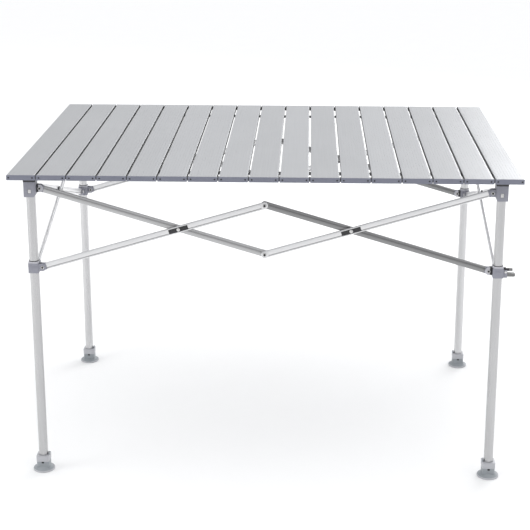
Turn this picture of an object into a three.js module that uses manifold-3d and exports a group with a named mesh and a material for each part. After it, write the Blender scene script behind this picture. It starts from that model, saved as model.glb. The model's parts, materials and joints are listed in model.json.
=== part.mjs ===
// Folding picnic table: a roll-up top of aluminium slats on a frame of four tube legs, which
// crossed flat bars hold apart and which closes to a bundle. Millimetres, +Z up, +X along the
// table, +Y to its back. The origin is on the ground under the middle of the top.

import * as THREE from "three";
import { mergeVertices } from "three/addons/utils/BufferGeometryUtils.js";
import Module from "manifold-3d";

// ---- Driving dimensions --------------------------------------------------------------------

// The top
const TABLE_HEIGHT = 700;
const TABLE_DEPTH = 740;
const SLAT_COUNT = 17;
const SLAT_WIDTH = 59;
const SLAT_GAP = 4.5;
const SLAT_THICKNESS = 11;
const SLAT_WALL = 1.2;
const SLAT_EDGE = 1.2;
const END_CAP_DEPTH = 14;
const STRAP_RIVET_RADIUS = 2;
const STRAP_INSET = 81;

// The legs
const LEG_INSET_X = 38;
const LEG_INSET_Y = 55;
const LEG_RADIUS = 10;
const LEG_WALL = 1.3;

// The crossed bars
const DEPLOYED_ANGLE = THREE.MathUtils.degToRad(16.5);
const PIVOT_DROP = 42.4;
const PIVOT_CLEAR = 2;
const BAR_HEIGHT = 15;
const BAR_THICKNESS = 6;
const BAR_GROOVE_HEIGHT = 6;
const BAR_GROOVE_DEPTH = 0.8;
const BAR_SPACE = 1;
const RIVET_RADIUS = 2.4;
const RIVET_HEAD_RADIUS = 5;
const RIVET_HEAD_THICKNESS = 1.6;

// Corner brackets, sliding collars and feet
const BRACKET_WALL = 3;
const BRACKET_CHAMFER = 2;
const BRACKET_ROOF = 4;
const BRACKET_SKIRT = 9;
const REST_PAD_HEIGHT = 5;
const REST_PAD_INSET = 1.5;
const FORK_RIM = 0.5;
const EAR_THICKNESS = 3;
const COLLAR_WALL = 1.5;
const COLLAR_CHAMFER = 3;
const COLLAR_HEIGHT = 26;
const FOOT_DISC_RIM = 10;
const FOOT_DISC_HEIGHT = 4;
const FOOT_CONE_TOP = 10;
const FOOT_SOCKET_WALL = 4;
const FOOT_SOCKET_CHAMFER = 4;
const FOOT_SOCKET_TOP = 36;
const FOOT_FLOOR = 6;
const FOOT_TAB_TOP = 41;
const FOOT_TAB_WIDTH = 10;
const FOOT_TAB_THICKNESS = 2.4;

// The lock on one collar
const LOCK_PIVOT_CLEAR = 6;
const LOCK_PIN_RADIUS = 1.9;
const LOCK_NOSE_HEIGHT = 7;
const LOCK_NOSE_RADIUS = 2;
const LOCK_HOLE_RADIUS = 3;
const LEVER_WIDTH = 5;
const LEVER_LENGTH = 13;
const LEVER_HUB_RADIUS = 3.5;
const FINGER_GAP = 1;
const FINGER_TAB_LENGTH = 24;
const FINGER_TAB_THICKNESS = 5.2;
const THUMB_BOTTOM = 3;
const THUMB_TOP = 7.2;
const SPRING_WIDTH = 2.6;
const LUG_THICKNESS = 2.5;
const LUG_RIM = 1;

// Clearances
const FIT = 0.3;
const SLIDE_FIT = 0.4;
const BAR_END_FIT = 0.6;
const CUT_PAST = 1;

// ---- Dimensions that follow ----------------------------------------------------------------

const SLAT_PITCH = SLAT_WIDTH + SLAT_GAP;
const TABLE_LENGTH = SLAT_COUNT * SLAT_PITCH - SLAT_GAP;
const LEG_X = TABLE_LENGTH / 2 - LEG_INSET_X;
const LEG_Y = TABLE_DEPTH / 2 - LEG_INSET_Y;
const SLAT_BOTTOM = TABLE_HEIGHT - SLAT_THICKNESS;
const PIVOT_OFFSET = LEG_RADIUS + PIVOT_CLEAR + BAR_HEIGHT / 2;
const SPAN_X = 2 * (LEG_X - PIVOT_OFFSET);
const SPAN_Y = 2 * (LEG_Y - PIVOT_OFFSET);
const OUTER_ARM = SPAN_Y / 2 / Math.cos(DEPLOYED_ANGLE);
const INNER_ARM = SPAN_X / 2 / Math.cos(DEPLOYED_ANGLE) - OUTER_ARM;
const TOP_PIVOT_Z = TABLE_HEIGHT - PIVOT_DROP;
const COLLAR_Z = TOP_PIVOT_Z - 2 * OUTER_ARM * Math.sin(DEPLOYED_ANGLE);
const LAYER = (BAR_THICKNESS + BAR_SPACE) / 2;
const STACK = LAYER + BAR_THICKNESS / 2;
const RIVET_HOLE_RADIUS = RIVET_RADIUS + FIT;
const BRACKET_TOP = SLAT_BOTTOM - REST_PAD_HEIGHT;
const LEG_TOP = BRACKET_TOP - BRACKET_ROOF;
const LEG_BOTTOM = FOOT_FLOOR + FIT;
const BRACKET_HALF = LEG_RADIUS + BRACKET_WALL;
const COLLAR_HALF = LEG_RADIUS + COLLAR_WALL;
const FOOT_SOCKET_HALF = LEG_RADIUS + FOOT_SOCKET_WALL;
const FORK_HALF_HEIGHT = BAR_HEIGHT / 2 + FORK_RIM;
const LOCK_PIVOT_OFFSET = LEG_RADIUS + LOCK_PIVOT_CLEAR;
const LEVER_SIDE = -(LEVER_WIDTH + SPRING_WIDTH + FIT) / 2;
const LOCK_HALF = -LEVER_SIDE + FIT;

// ---- Finishes ------------------------------------------------------------------------------

function finish(color, roughness, metalness) {
  return new THREE.MeshStandardMaterial({ color, roughness, metalness });
}

const anodised = () => finish(0xc6c9cd, 0.42, 0.9);
const tubeMetal = () => finish(0xcfd1d4, 0.35, 0.9);
const barMetal = () => finish(0xdfe0e2, 0.35, 0.9);
const bluePlastic = () => finish(0x767a8a, 0.5, 0);
const greyPlastic = () => finish(0x969ba2, 0.55, 0);
const rivetMetal = () => finish(0xb9bbbe, 0.3, 1);
const springSteel = () => finish(0x8d9094, 0.3, 1);

// ---- Solids --------------------------------------------------------------------------------

const wasm = await Module();
wasm.setup();

// A closed three.js geometry as a solid that can be cut and joined.
function solid(geometry) {
  const bare = geometry.clone();
  bare.deleteAttribute("normal");
  bare.deleteAttribute("uv");
  const merged = mergeVertices(bare, 1e-4);
  return new wasm.Manifold(
    new wasm.Mesh({
      numProp: 3,
      vertProperties: merged.attributes.position.array,
      triVerts: new Uint32Array(merged.index.array),
    }),
  );
}

// The solid back as a three.js geometry with flat faces.
function geometryOf(body) {
  const { vertProperties, triVerts } = body.getMesh();
  const geometry = new THREE.BufferGeometry();
  geometry.setAttribute("position", new THREE.BufferAttribute(vertProperties, 3));
  geometry.setIndex(new THREE.BufferAttribute(triVerts, 1));
  const flat = geometry.toNonIndexed();
  flat.computeVertexNormals();
  return flat;
}

// A block between two corners, given in any order.
function block(a, b) {
  const size = a.map((value, i) => Math.abs(b[i] - value));
  const middle = a.map((value, i) => (value + b[i]) / 2);
  return solid(new THREE.BoxGeometry(...size).translate(...middle));
}

// A round bar about an axis through a point, from one end to the other along that axis.
function round(axis, at, radius, from, to, sides = 16) {
  const cylinder = new THREE.CylinderGeometry(radius, radius, to - from, sides);
  cylinder.translate(0, (from + to) / 2, 0);
  if (axis === "x") cylinder.rotateZ(-Math.PI / 2);
  if (axis === "z") cylinder.rotateX(Math.PI / 2);
  return solid(cylinder.translate(...at));
}

// An outline in X and Z, made into a plate that is centred on y = 0.
function plate(outline, thickness, curveSegments = 12) {
  const extruded = new THREE.ExtrudeGeometry(outline, {
    depth: thickness,
    bevelEnabled: false,
    curveSegments,
  });
  return solid(extruded.translate(0, 0, -thickness / 2).rotateX(Math.PI / 2));
}

// A square post about the z axis with its four upright edges cut off.
function post(halfWidth, chamfer, bottom, top) {
  const corners = [
    [1, 1, 0, -1],
    [1, 1, -1, 0],
    [-1, 1, 1, 0],
    [-1, 1, 0, -1],
    [-1, -1, 0, 1],
    [-1, -1, 1, 0],
    [1, -1, -1, 0],
    [1, -1, 0, 1],
  ];
  const outline = new THREE.Shape(
    corners.map(
      ([x, y, cutX, cutY]) =>
        new THREE.Vector2(x * halfWidth + cutX * chamfer, y * halfWidth + cutY * chamfer),
    ),
  );
  const extruded = new THREE.ExtrudeGeometry(outline, { depth: top - bottom, bevelEnabled: false });
  return solid(extruded.translate(0, 0, bottom));
}

function mesh(name, body, material) {
  const made = new THREE.Mesh(geometryOf(body), material);
  made.name = name;
  return made;
}

// ---- The top -------------------------------------------------------------------------------

// One slat: a hollow extrusion along y, closed by its two end caps, with a rivet hole under
// each end for the elastic strap that links the slats.
function slatSolid() {
  const half = SLAT_WIDTH / 2;
  const outline = new THREE.Shape([
    new THREE.Vector2(-half + SLAT_EDGE, 0),
    new THREE.Vector2(half - SLAT_EDGE, 0),
    new THREE.Vector2(half, SLAT_EDGE),
    new THREE.Vector2(half, SLAT_THICKNESS - SLAT_EDGE),
    new THREE.Vector2(half - SLAT_EDGE, SLAT_THICKNESS),
    new THREE.Vector2(-half + SLAT_EDGE, SLAT_THICKNESS),
    new THREE.Vector2(-half, SLAT_THICKNESS - SLAT_EDGE),
    new THREE.Vector2(-half, SLAT_EDGE),
  ]);
  const outer = plate(outline, TABLE_DEPTH);
  const inside = half - SLAT_WALL;
  const endOfHollow = TABLE_DEPTH / 2 - END_CAP_DEPTH;
  let slat = outer.subtract(
    block(
      [-inside, -endOfHollow, SLAT_WALL],
      [inside, endOfHollow, SLAT_THICKNESS - SLAT_WALL],
    ),
  );
  for (const end of [-1, 1]) {
    const at = [0, end * (TABLE_DEPTH / 2 - STRAP_INSET), 0];
    slat = slat.subtract(round("z", at, STRAP_RIVET_RADIUS, -CUT_PAST, SLAT_WALL + CUT_PAST, 12));
  }
  return slat;
}

function makeTop() {
  const top = new THREE.Group();
  top.position.z = SLAT_BOTTOM;
  for (let i = 0; i < SLAT_COUNT; i++) {
    const name = "slat_" + String(i + 1).padStart(2, "0");
    const slat = mesh(name, slatSolid(), anodised());
    slat.position.x = (i - (SLAT_COUNT - 1) / 2) * SLAT_PITCH;
    top.add(slat);
  }
  return top;
}

// ---- The crossed bars ----------------------------------------------------------------------

// A flat bar along +x from its first hole, with round ends, a groove along both faces and a
// hole at each station.
function barSolid(length, stations) {
  const radius = BAR_HEIGHT / 2;
  const outline = new THREE.Shape();
  outline.absarc(0, 0, radius, Math.PI / 2, (3 * Math.PI) / 2, false);
  outline.absarc(length, 0, radius, -Math.PI / 2, Math.PI / 2, false);
  for (const station of stations) {
    const hole = new THREE.Path();
    hole.absarc(station, 0, RIVET_HOLE_RADIUS, 0, 2 * Math.PI, true);
    outline.holes.push(hole);
  }
  let bar = plate(outline, BAR_THICKNESS, 6);
  for (const face of [-1, 1]) {
    const surface = (face * BAR_THICKNESS) / 2;
    bar = bar.subtract(
      block(
        [radius, surface - face * BAR_GROOVE_DEPTH, -BAR_GROOVE_HEIGHT / 2],
        [length - radius, surface + face, BAR_GROOVE_HEIGHT / 2],
      ),
    );
  }
  return bar;
}

// A bar in its pair's own frame. layer is +1 or -1 along y, and the angle turns it about y.
function bar(name, x, z, angle, layer, length) {
  const stations = [0, OUTER_ARM, length];
  const made = mesh(name, barSolid(length, stations), barMetal());
  made.position.set(x, layer * LAYER, z);
  made.rotation.y = angle;
  return made;
}

// A rivet along y through both layers, with a head on each side.
function rivet(name, x, z) {
  const inner = STACK + FIT;
  const outer = inner + RIVET_HEAD_THICKNESS;
  const profile = [
    [0, -outer],
    [RIVET_HEAD_RADIUS, -outer],
    [RIVET_HEAD_RADIUS, -inner],
    [RIVET_RADIUS, -inner],
    [RIVET_RADIUS, inner],
    [RIVET_HEAD_RADIUS, inner],
    [RIVET_HEAD_RADIUS, outer],
    [0, outer],
  ].map(([r, y]) => new THREE.Vector2(r, y));
  const made = mesh(name, solid(new THREE.LatheGeometry(profile, 12)), rivetMetal());
  made.position.set(x, 0, z);
  return made;
}

// The four bars of the front or the back. outside is the way along y that faces out.
function makeLongSide(side, outside) {
  const group = new THREE.Group();
  group.position.y = outside * LEG_Y;
  const reach = OUTER_ARM + INNER_ARM;
  const pivotX = LEG_X - PIVOT_OFFSET;
  const drop = OUTER_ARM * Math.sin(DEPLOYED_ANGLE);
  const rise = INNER_ARM * Math.sin(DEPLOYED_ANGLE);
  const crossX = INNER_ARM * Math.cos(DEPLOYED_ANGLE);
  const crossZ = TOP_PIVOT_Z - drop;
  const turn = DEPLOYED_ANGLE;
  group.add(
    bar(side + "_bar_left_upper", -pivotX, TOP_PIVOT_Z, turn, -outside, reach),
    bar(side + "_bar_left_lower", -pivotX, COLLAR_Z, -turn, outside, reach),
    bar(side + "_bar_right_upper", pivotX, TOP_PIVOT_Z, Math.PI - turn, outside, reach),
    bar(side + "_bar_right_lower", pivotX, COLLAR_Z, Math.PI + turn, -outside, reach),
    rivet(side + "_rivet_left_crossing", -crossX, crossZ),
    rivet(side + "_rivet_right_crossing", crossX, crossZ),
    rivet(side + "_rivet_centre_top", 0, crossZ + rise),
    rivet(side + "_rivet_centre_bottom", 0, crossZ - rise),
  );
  return group;
}

// The two bars of the left or the right end. outside is the way along x that faces out.
function makeEnd(side, outside) {
  const group = new THREE.Group();
  group.position.x = outside * LEG_X;
  group.rotation.z = Math.PI / 2;
  const length = 2 * OUTER_ARM;
  const pivotY = LEG_Y - PIVOT_OFFSET;
  const crossZ = TOP_PIVOT_Z - OUTER_ARM * Math.sin(DEPLOYED_ANGLE);
  group.add(
    bar(side + "_bar_upper_front", -pivotY, TOP_PIVOT_Z, DEPLOYED_ANGLE, -outside, length),
    bar(side + "_bar_lower_front", -pivotY, COLLAR_Z, -DEPLOYED_ANGLE, outside, length),
    rivet(side + "_rivet_crossing", 0, crossZ),
  );
  return group;
}

// ---- Corners: bracket, leg, sliding collar and foot ------------------------------------------

// Two ears that hold a bar's end, in a frame where the bar leaves along +x and its layer is
// the middle of the ears. It returns what to join to the body and what to cut from both.
function forkAlongX(layerY) {
  const slot = BAR_THICKNESS / 2 + FIT;
  const half = slot + EAR_THICKNESS;
  const ears = block(
    [0, layerY - half, -FORK_HALF_HEIGHT],
    [PIVOT_OFFSET, layerY + half, FORK_HALF_HEIGHT],
  ).add(
    round("y", [PIVOT_OFFSET, 0, 0], FORK_HALF_HEIGHT, layerY - half, layerY + half),
  );
  const pinHole = round(
    "y",
    [PIVOT_OFFSET, 0, 0],
    RIVET_HOLE_RADIUS,
    layerY - half - CUT_PAST,
    layerY + half + CUT_PAST,
    12,
  );
  return { ears, pinHole, slot };
}

// The two forks of a corner, one along the table and one across it, at pivot height z. The
// slots are open towards the bars: downwards on a bracket and upwards on a collar.
function addForks(body, inX, inY, layerX, layerY, z, open) {
  const slotStart = PIVOT_OFFSET - BAR_HEIGHT / 2 - BAR_END_FIT;
  const slotEnd = PIVOT_OFFSET + 2 * FORK_HALF_HEIGHT;
  const slotReach = COLLAR_HEIGHT * open;
  const closedEnd = -open * (FORK_HALF_HEIGHT + SLIDE_FIT);
  const cuts = [];
  let joined = body;
  for (const [turned, layer] of [
    [false, layerX],
    [true, layerY],
  ]) {
    const place = (part) => {
      const facing = turned ? part.rotate([0, 0, 90]) : part;
      const mirror = turned ? inY : inX;
      const way = mirror < 0 ? facing.rotate([0, 0, 180]) : facing;
      return way.translate([0, 0, z]);
    };
    const fork = forkAlongX(layer);
    const cut = block(
      [slotStart, layer - fork.slot, closedEnd],
      [slotEnd, layer + fork.slot, slotReach],
    );
    joined = joined.add(place(fork.ears));
    cuts.push(place(cut), place(fork.pinHole));
  }
  for (const cut of cuts) joined = joined.subtract(cut);
  return joined;
}

// The bracket at the top of a leg, with the pad that the slats rest on.
function bracketSolid(inX, inY, layerX, layerY) {
  const pad = BRACKET_HALF - REST_PAD_INSET;
  const bottom = TOP_PIVOT_Z - FORK_HALF_HEIGHT - BRACKET_SKIRT;
  const body = post(BRACKET_HALF, BRACKET_CHAMFER, bottom, BRACKET_TOP).add(
    block([-pad, -pad, BRACKET_TOP - 1], [pad, pad, SLAT_BOTTOM - FIT]),
  );
  const forked = addForks(body, inX, inY, layerX, layerY, TOP_PIVOT_Z, -1);
  const bore = round("z", [0, 0, 0], LEG_RADIUS + FIT, bottom - CUT_PAST, LEG_TOP + FIT);
  return forked.subtract(bore);
}

function collarBore() {
  const reach = COLLAR_HEIGHT / 2 + CUT_PAST;
  return round("z", [0, 0, 0], LEG_RADIUS + SLIDE_FIT, -reach, reach);
}

// The collar that slides on a leg, about z = 0.
function collarSolid(inX, inY, layerX, layerY) {
  const body = post(COLLAR_HALF, COLLAR_CHAMFER, -COLLAR_HEIGHT / 2, COLLAR_HEIGHT / 2);
  return addForks(body, inX, inY, layerX, layerY, 0, 1).subtract(collarBore());
}

// The foot: a round sole that rises to a square socket round the leg, with a raised tab on its
// inner side.
function footSolid(inX) {
  const half = FOOT_SOCKET_HALF;
  const rim = half + FOOT_DISC_RIM;
  const sole = [
    [0, 0],
    [rim - 0.8, 0],
    [rim, 0.8],
    [rim, FOOT_DISC_HEIGHT - 1],
    [rim - 1.2, FOOT_DISC_HEIGHT],
    [half + 1, FOOT_CONE_TOP],
    [0, FOOT_CONE_TOP],
  ].map(([r, z]) => new THREE.Vector2(r, z));
  const disc = solid(new THREE.LatheGeometry(sole, 24).rotateX(Math.PI / 2));
  const tab = block(
    [inX * (half - FOOT_TAB_THICKNESS), -FOOT_TAB_WIDTH / 2, FOOT_SOCKET_TOP - 1],
    [inX * half, FOOT_TAB_WIDTH / 2, FOOT_TAB_TOP],
  );
  const socket = post(half, FOOT_SOCKET_CHAMFER, FOOT_DISC_HEIGHT, FOOT_SOCKET_TOP).add(tab);
  const bore = round("z", [0, 0, 0], LEG_RADIUS + FIT, FOOT_FLOOR, FOOT_TAB_TOP + CUT_PAST);
  return disc.add(socket).subtract(bore);
}

function legSolid() {
  const wall = round("z", [0, 0, 0], LEG_RADIUS, LEG_BOTTOM, LEG_TOP, 20);
  const inner = LEG_RADIUS - LEG_WALL;
  const hollow = round("z", [0, 0, 0], inner, LEG_BOTTOM - CUT_PAST, LEG_TOP + CUT_PAST, 20);
  return wall.subtract(hollow);
}

function makeCorner(front, left) {
  const name = (front ? "front" : "rear") + (left ? "_left" : "_right");
  const outX = left ? -1 : 1;
  const outY = front ? -1 : 1;
  // Upper bars are in the inner layer at the left and in the outer layer at the right of the
  // long sides, and in the outer layer at the front and in the inner one at the back of the
  // ends. Lower bars take the other layer. A fork's own y runs round with the fork.
  const alongX = (left ? -1 : 1) * outY * -outX * LAYER;
  const alongY = (front ? 1 : -1) * outX * outY * LAYER;
  const corner = new THREE.Group();
  corner.position.set(outX * LEG_X, outY * LEG_Y, 0);
  const bracket = bracketSolid(-outX, -outY, alongX, alongY);
  let leg = legSolid();
  let collar = collarSolid(-outX, -outY, -alongX, -alongY);
  if (front && !left) {
    const holeZ = COLLAR_Z + LOCK_NOSE_HEIGHT;
    const past = LEG_RADIUS + CUT_PAST;
    leg = leg.subtract(round("x", [0, 0, holeZ], LOCK_HOLE_RADIUS, 0, past, 12));
    collar = withLockHousing(collar);
  }
  const collarMesh = mesh("collar_" + name, collar, bluePlastic());
  collarMesh.position.z = COLLAR_Z;
  corner.add(
    mesh("leg_" + name, leg, tubeMetal()),
    mesh("corner_bracket_" + name, bracket, bluePlastic()),
    mesh("foot_" + name, footSolid(-outX), greyPlastic()),
    collarMesh,
  );
  return corner;
}

// ---- The lock on the front right collar ------------------------------------------------------

// The collar with a window for the lever, two lugs for its pin and the fixed finger tab.
function withLockHousing(collar) {
  const lugOuter = LOCK_HALF + LUG_THICKNESS;
  const lugEnd = LOCK_PIVOT_OFFSET + LEVER_HUB_RADIUS;
  const tabTop = -LEVER_HUB_RADIUS - FINGER_GAP;
  const collarTop = COLLAR_HEIGHT / 2;
  let housing = collar;
  for (const side of [-1, 1]) {
    housing = housing.add(
      block(
        [LEG_RADIUS, side * LOCK_HALF, -collarTop],
        [lugEnd, side * lugOuter, LEVER_HUB_RADIUS + LUG_RIM],
      ),
    );
  }
  const tab = block(
    [LEG_RADIUS, -lugOuter, tabTop - FINGER_TAB_THICKNESS],
    [COLLAR_HALF + FINGER_TAB_LENGTH, lugOuter, tabTop],
  );
  const window = block(
    [0, -LOCK_HALF, -LEVER_HUB_RADIUS - LUG_RIM],
    [lugEnd + CUT_PAST, LOCK_HALF, collarTop + CUT_PAST],
  );
  const at = [LOCK_PIVOT_OFFSET, 0, 0];
  const past = lugOuter + CUT_PAST;
  const pinHole = round("y", at, LOCK_PIN_RADIUS + FIT, -past, past, 12);
  return housing.add(tab).subtract(window).subtract(pinHole).subtract(collarBore());
}

// The lever about its own pivot: a hub, a thumb plate outwards and a nose up and inwards.
function leverSolid() {
  const sides = [LEVER_SIDE, LEVER_SIDE + LEVER_WIDTH];
  const noseBack = -LEVER_HUB_RADIUS + 0.5;
  const noseTip = LEG_RADIUS + FIT + SLIDE_FIT - LOCK_PIVOT_OFFSET;
  const hub = round("y", [0, 0, 0], LEVER_HUB_RADIUS, sides[0], sides[1]);
  const thumbPlate = block([0, sides[0], THUMB_BOTTOM], [LEVER_LENGTH, sides[1], THUMB_TOP]);
  const nose = block([noseBack, sides[0], 0], [1, sides[1], LOCK_NOSE_HEIGHT + 2.5]);
  const middle = (sides[0] + sides[1]) / 2;
  const tip = round("x", [0, middle, LOCK_NOSE_HEIGHT], LOCK_NOSE_RADIUS, noseTip, 0, 12);
  const past = LOCK_HALF + CUT_PAST;
  const bore = round("y", [0, 0, 0], LOCK_PIN_RADIUS + FIT, -past, past, 12);
  return hub.add(thumbPlate).add(nose).add(tip).subtract(bore);
}

function makeLock() {
  const lock = new THREE.Group();
  lock.position.set(LEG_X + LOCK_PIVOT_OFFSET, -LEG_Y, COLLAR_Z);
  const pinHalf = LOCK_HALF + LUG_THICKNESS;
  const springFrom = LEVER_SIDE + LEVER_WIDTH + FIT;
  const springTo = springFrom + SPRING_WIDTH;
  const coil = round("y", [0, 0, 0], LEVER_HUB_RADIUS - FIT, springFrom, springTo);
  const spring = coil.subtract(round("y", [0, 0, 0], LOCK_PIN_RADIUS + FIT, -pinHalf, pinHalf, 12));
  const pin = round("y", [0, 0, 0], LOCK_PIN_RADIUS, -pinHalf, pinHalf, 12);
  lock.add(
    mesh("lock_lever", leverSolid(), bluePlastic()),
    mesh("lock_spring", spring, springSteel()),
    mesh("lock_pin", pin, rivetMetal()),
  );
  return lock;
}

// ---- Assembly ------------------------------------------------------------------------------

const table = new THREE.Group();
table.add(makeTop());
table.add(makeLongSide("front", -1), makeLongSide("rear", 1));
table.add(makeEnd("left", -1), makeEnd("right", 1));
for (const front of [true, false]) {
  for (const left of [true, false]) table.add(makeCorner(front, left));
}
table.add(makeLock());

export default table;
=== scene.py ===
# Folding picnic table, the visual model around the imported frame. Metres, +Z up, +X along the
# table, +Y to its back. Sections follow the order in which the table is put together.
import json
from math import cos, pi, radians

import bmesh
import bpy
from mathutils import Matrix, Vector

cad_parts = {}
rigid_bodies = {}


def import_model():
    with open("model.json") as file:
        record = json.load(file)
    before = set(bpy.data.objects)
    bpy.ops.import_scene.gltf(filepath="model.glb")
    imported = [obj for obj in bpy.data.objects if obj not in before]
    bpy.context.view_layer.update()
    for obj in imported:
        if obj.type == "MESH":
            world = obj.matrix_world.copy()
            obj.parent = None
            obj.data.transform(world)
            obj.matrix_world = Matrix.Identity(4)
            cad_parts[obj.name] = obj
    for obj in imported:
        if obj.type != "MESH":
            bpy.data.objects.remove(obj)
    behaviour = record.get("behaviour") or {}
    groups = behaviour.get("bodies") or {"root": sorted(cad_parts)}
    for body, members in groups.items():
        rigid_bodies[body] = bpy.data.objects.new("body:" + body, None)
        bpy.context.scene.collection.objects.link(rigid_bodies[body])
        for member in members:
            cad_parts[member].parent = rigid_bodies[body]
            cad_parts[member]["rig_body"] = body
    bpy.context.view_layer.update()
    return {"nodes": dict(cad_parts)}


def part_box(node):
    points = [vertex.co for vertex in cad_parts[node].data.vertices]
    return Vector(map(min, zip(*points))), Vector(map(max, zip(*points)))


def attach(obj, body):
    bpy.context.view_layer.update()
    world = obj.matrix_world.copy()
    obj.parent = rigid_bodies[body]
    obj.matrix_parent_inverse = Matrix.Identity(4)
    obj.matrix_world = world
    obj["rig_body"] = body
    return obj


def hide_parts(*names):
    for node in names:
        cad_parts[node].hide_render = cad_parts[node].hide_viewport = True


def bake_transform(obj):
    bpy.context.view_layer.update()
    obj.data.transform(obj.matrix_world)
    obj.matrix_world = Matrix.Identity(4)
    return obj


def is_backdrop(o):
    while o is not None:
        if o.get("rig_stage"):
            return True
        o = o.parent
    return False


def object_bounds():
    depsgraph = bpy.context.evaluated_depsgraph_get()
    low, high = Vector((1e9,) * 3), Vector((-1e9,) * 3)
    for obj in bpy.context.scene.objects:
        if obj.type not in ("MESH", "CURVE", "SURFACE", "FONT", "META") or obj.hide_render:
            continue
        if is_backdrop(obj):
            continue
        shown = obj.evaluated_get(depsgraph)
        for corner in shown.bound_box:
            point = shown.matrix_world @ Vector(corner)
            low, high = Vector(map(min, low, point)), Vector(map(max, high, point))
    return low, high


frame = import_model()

# ---- The studio ------------------------------------------------------------------------------
# A pale floor and soft light from above, from the right and from behind, so that the satin
# metal runs from grey at the left to light at the right. It isn't part of the table.

MM = 0.001


class Channel:
    """A node's output. Arithmetic on it adds Math nodes to its tree."""

    def __init__(self, nodes, socket):
        self.nodes, self.socket = nodes, socket

    def maths(self, operation, first, second=0.0):
        return self.nodes.add("ShaderNodeMath", {"operation": operation}, {0: first, 1: second})

    def __add__(self, other):
        return self.maths("ADD", self, other)

    def __sub__(self, other):
        return self.maths("SUBTRACT", self, other)

    def __rsub__(self, other):
        return self.maths("SUBTRACT", other, self)

    def __mul__(self, other):
        return self.maths("MULTIPLY", self, other)

    def __pow__(self, other):
        return self.maths("POWER", self, other)

    __radd__ = __add__
    __rmul__ = __mul__


class Nodes:
    """The node tree of a material or of the world."""

    def __init__(self, owner):
        owner.use_nodes = True
        self.owner, self.tree = owner, owner.node_tree

    def feed(self, socket, value):
        if isinstance(value, Channel):
            self.tree.links.new(value.socket, socket)
        else:
            socket.default_value = value

    def add(self, kind, settings, inputs, output=0):
        made = self.tree.nodes.new(kind)
        for name, value in settings.items():
            setattr(made, name, value)
        for name, value in inputs.items():
            self.feed(made.inputs[name], value)
        return Channel(self, made.outputs[output])

    def place(self):
        return self.add("ShaderNodeTexCoord", {}, {}, "Object")

    def stretched(self, turn, scale):
        return self.add(
            "ShaderNodeMapping", {}, {"Vector": self.place(), "Rotation": turn, "Scale": scale}
        )

    def noise(self, vector, scale, detail=2.0, rough=0.5):
        inputs = {"Vector": vector, "Scale": scale, "Detail": detail, "Roughness": rough}
        return self.add("ShaderNodeTexNoise", {}, inputs)

    def mixed(self, share, first, second):
        return self.add("ShaderNodeMix", {"data_type": "RGBA"}, {0: share, 6: first, 7: second}, 2)

    def bump(self, height, strength, depth):
        inputs = {"Height": height, "Strength": strength, "Distance": depth}
        return self.add("ShaderNodeBump", {}, inputs)

    def surface(self, **values):
        shader = self.tree.nodes["Principled BSDF"]
        for name, value in values.items():
            self.feed(shader.inputs[name.replace("_", " ")], value)
        return self.owner


def grey(value, red=1.0, green=1.0, blue=1.0):
    """A grey, tinted by a factor for each of its channels."""
    return (value * red, value * green, value * blue, 1.0)


def soft_light(name, place, aim, size, power):
    light = bpy.data.lights.new(name, "AREA")
    light.shape, light.energy = "RECTANGLE", power
    light.size, light.size_y = size
    lamp = bpy.data.objects.new(name, light)
    lamp.location = place
    lamp.rotation_euler = (Vector(aim) - Vector(place)).to_track_quat("-Z", "Y").to_euler()
    bpy.context.scene.collection.objects.link(lamp)


CAMERA_DIP = 0.2717
CAMERA_TURN = 0.0344
camera_data = bpy.data.cameras.new("camera")
camera_data.lens = 88.4
camera_data.sensor_width = 36
camera_data.shift_y = -0.13
camera = bpy.data.objects.new("camera", camera_data)
camera.location = (0.0922, -2.973, 1.3856)
camera.rotation_euler = (pi / 2 - CAMERA_DIP, 0, CAMERA_TURN)
bpy.context.scene.collection.objects.link(camera)
bpy.context.scene.camera = camera
bpy.context.scene.view_settings.view_transform = "Standard"

FLOOR_HALF = 30.0
floor_mesh = bpy.data.meshes.new("floor")
bm = bmesh.new()
bmesh.ops.create_grid(bm, x_segments=1, y_segments=1, size=FLOOR_HALF)
bm.to_mesh(floor_mesh)
bm.free()
floor = bpy.data.objects.new("floor", floor_mesh)
bpy.context.scene.collection.objects.link(floor)
floor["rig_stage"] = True
paper = Nodes(bpy.data.materials.new("floor_paper"))
speckle = paper.noise(paper.place(), 9.0)
floor_mesh.materials.append(
    paper.surface(Base_Color=paper.mixed(speckle, grey(0.945), grey(0.965)), Roughness=0.9)
)

# The room is white, a little brighter to the right and darker in front of the table.
ROOM_LEVEL = 1.06
ROOM_RISE_TO_RIGHT = 0.08
ROOM_FALL_IN_FRONT = 0.46
ROOM_FALL_POWER = 6
world = bpy.data.worlds.new("studio")
bpy.context.scene.world = world
room = Nodes(world)
toward = room.add("ShaderNodeTexCoord", {}, {}, "Generated")
right, back = [room.add("ShaderNodeSeparateXYZ", {}, {0: toward}, axis) for axis in (0, 1)]
front = back.maths("MAXIMUM", 0 - back) ** ROOM_FALL_POWER
brightness = ROOM_LEVEL + right * ROOM_RISE_TO_RIGHT - front * ROOM_FALL_IN_FRONT
background = world.node_tree.nodes["Background"]
room.feed(background.inputs["Strength"], brightness)
room.feed(background.inputs["Color"], grey(1.0, 0.985, 0.99, 1.0))

soft_light("light_above", (0.4, -0.6, 3.2), aim=(0, 0, 0.5), size=(3.0, 2.4), power=12)
soft_light("light_right_rear", (2.35, 3.4, 1.75), aim=(0.5, 0, 0.6), size=(2.6, 1.7), power=57)
soft_light("light_left", (-3.0, -1.2, 1.4), aim=(0, 0, 0.4), size=(1.2, 2.0), power=16)

# ---- Legs ------------------------------------------------------------------------------------
# Four round tubes of drawn aluminium, cut to length and anodised satin. Each is pressed into
# its corner bracket above and its foot below; the front right one has a hole for the lock.

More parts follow.
